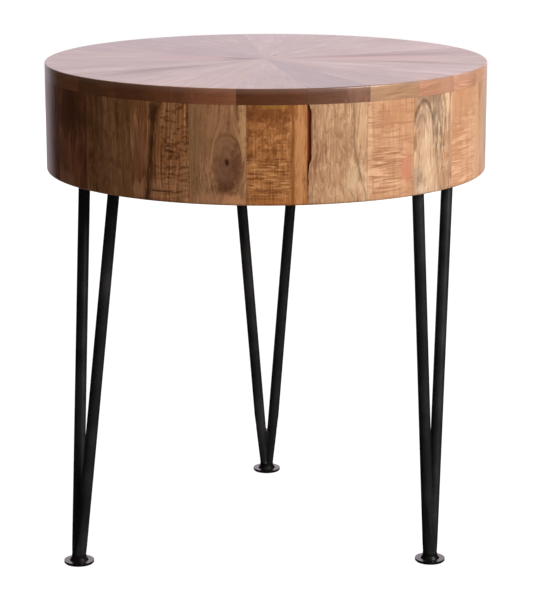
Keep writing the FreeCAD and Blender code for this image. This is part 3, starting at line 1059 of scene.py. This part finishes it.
def makeWeldTree():    # a rippled bead along each ring of edges
    tree, given = makeTree("weldBeads", (*weldSetup["sizes"], *weldSetup["shares"]))
    ring = output(tree, "GeometryNodeMeshToCurve", Mesh=given["Geometry"])
    ring = output(tree, "GeometryNodeResampleCurve", Curve=ring, Count=weldSetup["steps"])
    run = output(tree, "GeometryNodeSplineParameter", "Length")
    swell = calc("SINE", run / given["RippleLength"] * math.tau) * given["Ripple"] + 1.0
    circle = output(tree, "GeometryNodeCurvePrimitiveCircle", Resolution=weldSetup["facets"], Radius=1.0)
    bead = output(tree, "GeometryNodeCurveToMesh", Curve=ring, Profile_Curve=circle,
                  Scale=given["BeadWidth"] * 0.5 * swell)
    return finishTree(tree, bead, given["Material"])


def growPiece(name, points, edges, tree, values):    # runs the tree on a mesh and keeps the plain result
    mesh = bpy.data.meshes.new(name + "_seed")
    mesh.from_pydata(points, edges, [])
    piece = bpy.data.objects.new(name, mesh)
    scene.collection.objects.link(piece)
    modifier = piece.modifiers.new(name, "NODES")
    modifier.node_group = tree
    for item in tree.interface.items_tree:
        if item.in_out == "INPUT" and item.name in values:
            modifier[item.identifier] = values[item.name]
    grown = bpy.data.meshes.new_from_object(piece.evaluated_get(bpy.context.evaluated_depsgraph_get()))
    piece.modifiers.clear()
    piece.data = grown
    grown.name = name
    grown.shade_smooth()
    grown.set_sharp_from_angle(angle=math.radians(sharpEdge))
    return piece


def pointsOf(name):
    return [v.co.copy() for v in nodes[name].data.vertices]


plateLevel = plateFoot - plateSlack * mm
headPoints = [point for point in pointsOf("leg_screws") if point.z < plateLevel]
screwSpots = gather(headPoints, screwSetup["sizes"]["HeadWidth"] * gatherReach * mm)
screws = growPiece("screws", [(spot.x, spot.y, plateFoot) for spot in screwSpots], [], makeScrewTree(),
                   {**inMetres(**screwSetup["sizes"]), "Seed": screwSetup["seed"],
                    "Material": zincPlateMaterial()})
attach(screws, "root")
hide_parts("leg_screws")

rodPoints = [point for leg in legNames for point in pointsOf(leg + "_leg_rods") if point.z > plateLevel]
ringPoints, ringEdges = [], []
ringReach, ringCount = weldSetup["ringWidth"] / 2 * mm, weldSetup["ringPoints"]
for spot in gather(rodPoints, weldSetup["ringWidth"] * gatherReach * mm):
    first = len(ringPoints)
    for index in range(ringCount):
        angle = math.tau * index / ringCount
        ringPoints.append((spot.x + ringReach * math.cos(angle), spot.y + ringReach * math.sin(angle),
                           plateFoot - weldSetup["rise"] * mm))
        ringEdges.append((first + index, first + (index + 1) % ringCount))
welds = growPiece("rod_welds", ringPoints, ringEdges, makeWeldTree(),
                  {**inMetres(**weldSetup["sizes"]), **weldSetup["shares"], "Material": blackSteel})
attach(welds, "root")
print("screws:", len(screwSpots), "weld rings:", len(ringPoints) // ringCount)


# Studio

cameraSetup = {"place": (0.0, -2.3310, 0.8015), "lookDown": 13.195, "turn": -0.017, "roll": -0.115,
               "lens": 135.15, "clipEnd": 100.0}    # metres, degrees, lens in mm
lampSetup = {
    "key": {"bearing": 50.0, "rise": 22.0, "distance": 3.0, "size": 1.3, "watts": 88.0,
            "color": (1.0, 0.985, 0.965), "mirrored": True},
    "rear": {"bearing": 180.0, "rise": 14.0, "distance": 3.0, "size": 2.0, "watts": 30.0,
             "color": (1.0, 0.97, 0.94), "mirrored": False},
}
studio = {
    "aim": (0.0, 0.0, 0.40), "floorSize": 30.0, "glossStart": (0.3, 0.7),    # metres
    "floorBounce": 0.5, "shadowShare": 0.22, "floorGlow": 0.94, "floorGloss": 0.56, "sideGloss": 0.008,
    "ambient": 0.16, "ambientTint": (1.0, 0.92, 0.84), "backdrop": 0.9, "backdropTint": (1.0, 0.87, 0.98),
    "backdropTurn": -3.0, "wallSpan": (33.0, 19.0), "floorSpan": (47.0, 20.0),    # degrees
}
backdropColor = studio["backdropTint"] + (1.0,)


def placeCamera():
    camera = bpy.data.objects.new("camera", bpy.data.cameras.new("camera"))
    camera.data.lens = cameraSetup["lens"]
    camera.data.clip_end = cameraSetup["clipEnd"]
    turn = Matrix.Rotation(math.radians(cameraSetup["turn"]), 4, "Z")
    tilt = Matrix.Rotation(math.radians(90.0 - cameraSetup["lookDown"]), 4, "X")
    roll = Matrix.Rotation(math.radians(cameraSetup["roll"]), 4, "Z")
    camera.matrix_world = Matrix.Translation(cameraSetup["place"]) @ turn @ tilt @ roll
    scene.collection.objects.link(camera)
    scene.camera = camera


def placeLamp(name, setup):
    data = bpy.data.lights.new(name, "AREA")
    data.size = setup["size"]
    data.energy = setup["watts"]
    data.color = setup["color"]
    lamp = bpy.data.objects.new(name, data)
    bearing, rise = math.radians(setup["bearing"]), math.radians(setup["rise"])
    away = Vector((math.sin(bearing) * math.cos(rise), -math.cos(bearing) * math.cos(rise), math.sin(rise)))
    lamp.location = Vector(studio["aim"]) + away * setup["distance"]
    lamp.rotation_euler = away.to_track_quat("Z", "Y").to_euler()
    lamp.visible_camera = False
    lamp.visible_glossy = setup["mirrored"]
    scene.collection.objects.link(lamp)


def paleRays(tree):    # camera rays, then reflected and passing rays
    path = tree.nodes.new("ShaderNodeLightPath").outputs
    mirrored = calc("MAXIMUM", Field(path["Is Glossy Ray"]), Field(path["Is Transmission Ray"]))
    return Field(path["Is Camera Ray"]), mirrored


def behindShare(point, span):    # 1 straight behind the table, 0 past the span's wide angle
    x, y = splitPoint(point)[:2]
    turn = math.radians(studio["backdropTurn"])
    away = x * math.sin(turn) + y * math.cos(turn)
    aside = x * math.cos(turn) - y * math.sin(turn)
    angle = calc("ARCTAN2", abs(aside), away)
    return fade(angle, math.radians(span[0]), math.radians(span[1]))


def buildWorld():
    world = bpy.data.worlds.new("studio")
    world.use_nodes = True
    scene.world = world
    tree = world.node_tree
    seen, mirrored = paleRays(tree)
    behind = behindShare(output(tree, "ShaderNodeTexCoord", "Generated"), studio["wallSpan"])
    soft = tuple(studio["ambient"] * share for share in studio["ambientTint"]) + (1.0,)
    around = mixed(mirrored, soft, (studio["sideGloss"],) * 3 + (1.0,))
    lit = mixed(behind * studio["backdrop"], around, backdropColor)
    feed(tree.nodes["Background"].inputs["Color"], mixed(seen, lit, white))


def paperMaterial():    # white to the camera but for the shadow, pale in reflections only behind the table
    material, shader, point = newMaterial("paper_floor")
    tree = material.node_tree
    tree.nodes.remove(shader)
    seen, mirrored = paleRays(tree)
    far = fade(splitPoint(point)[1], *studio["glossStart"])
    behind = behindShare(point, studio["floorSpan"]) * far
    gloss = fade(behind, 0.0, 1.0, studio["sideGloss"], studio["floorGloss"])
    bounce = studio["floorBounce"]
    level = seen * (studio["shadowShare"] - bounce) + bounce
    paper = output(tree, "ShaderNodeBsdfDiffuse", Color=level - mirrored * bounce)
    glow = output(tree, "ShaderNodeEmission", Color=mixed(mirrored, white, backdropColor),
                  Strength=seen * studio["floorGlow"] + mirrored * gloss)
    both = tree.nodes.new("ShaderNodeAddShader")
    for socket, part in zip(both.inputs, (paper, glow)):
        feed(socket, part)
    feed(tree.nodes["Material Output"].inputs["Surface"], Field(both.outputs[0]))
    return material


def buildFloor():
    half = studio["floorSize"] / 2
    mesh = bpy.data.meshes.new("floor")
    corners = [(-half, -half, 0), (half, -half, 0), (half, half, 0), (-half, half, 0)]
    mesh.from_pydata(corners, [], [(0, 1, 2, 3)])
    floor = bpy.data.objects.new("floor", mesh)
    scene.collection.objects.link(floor)
    mesh.materials.append(paperMaterial())


scene.view_settings.view_transform = "Standard"
placeCamera()
for name, setup in lampSetup.items():
    placeLamp(name, setup)
buildWorld()
buildFloor()
print("studio ready")
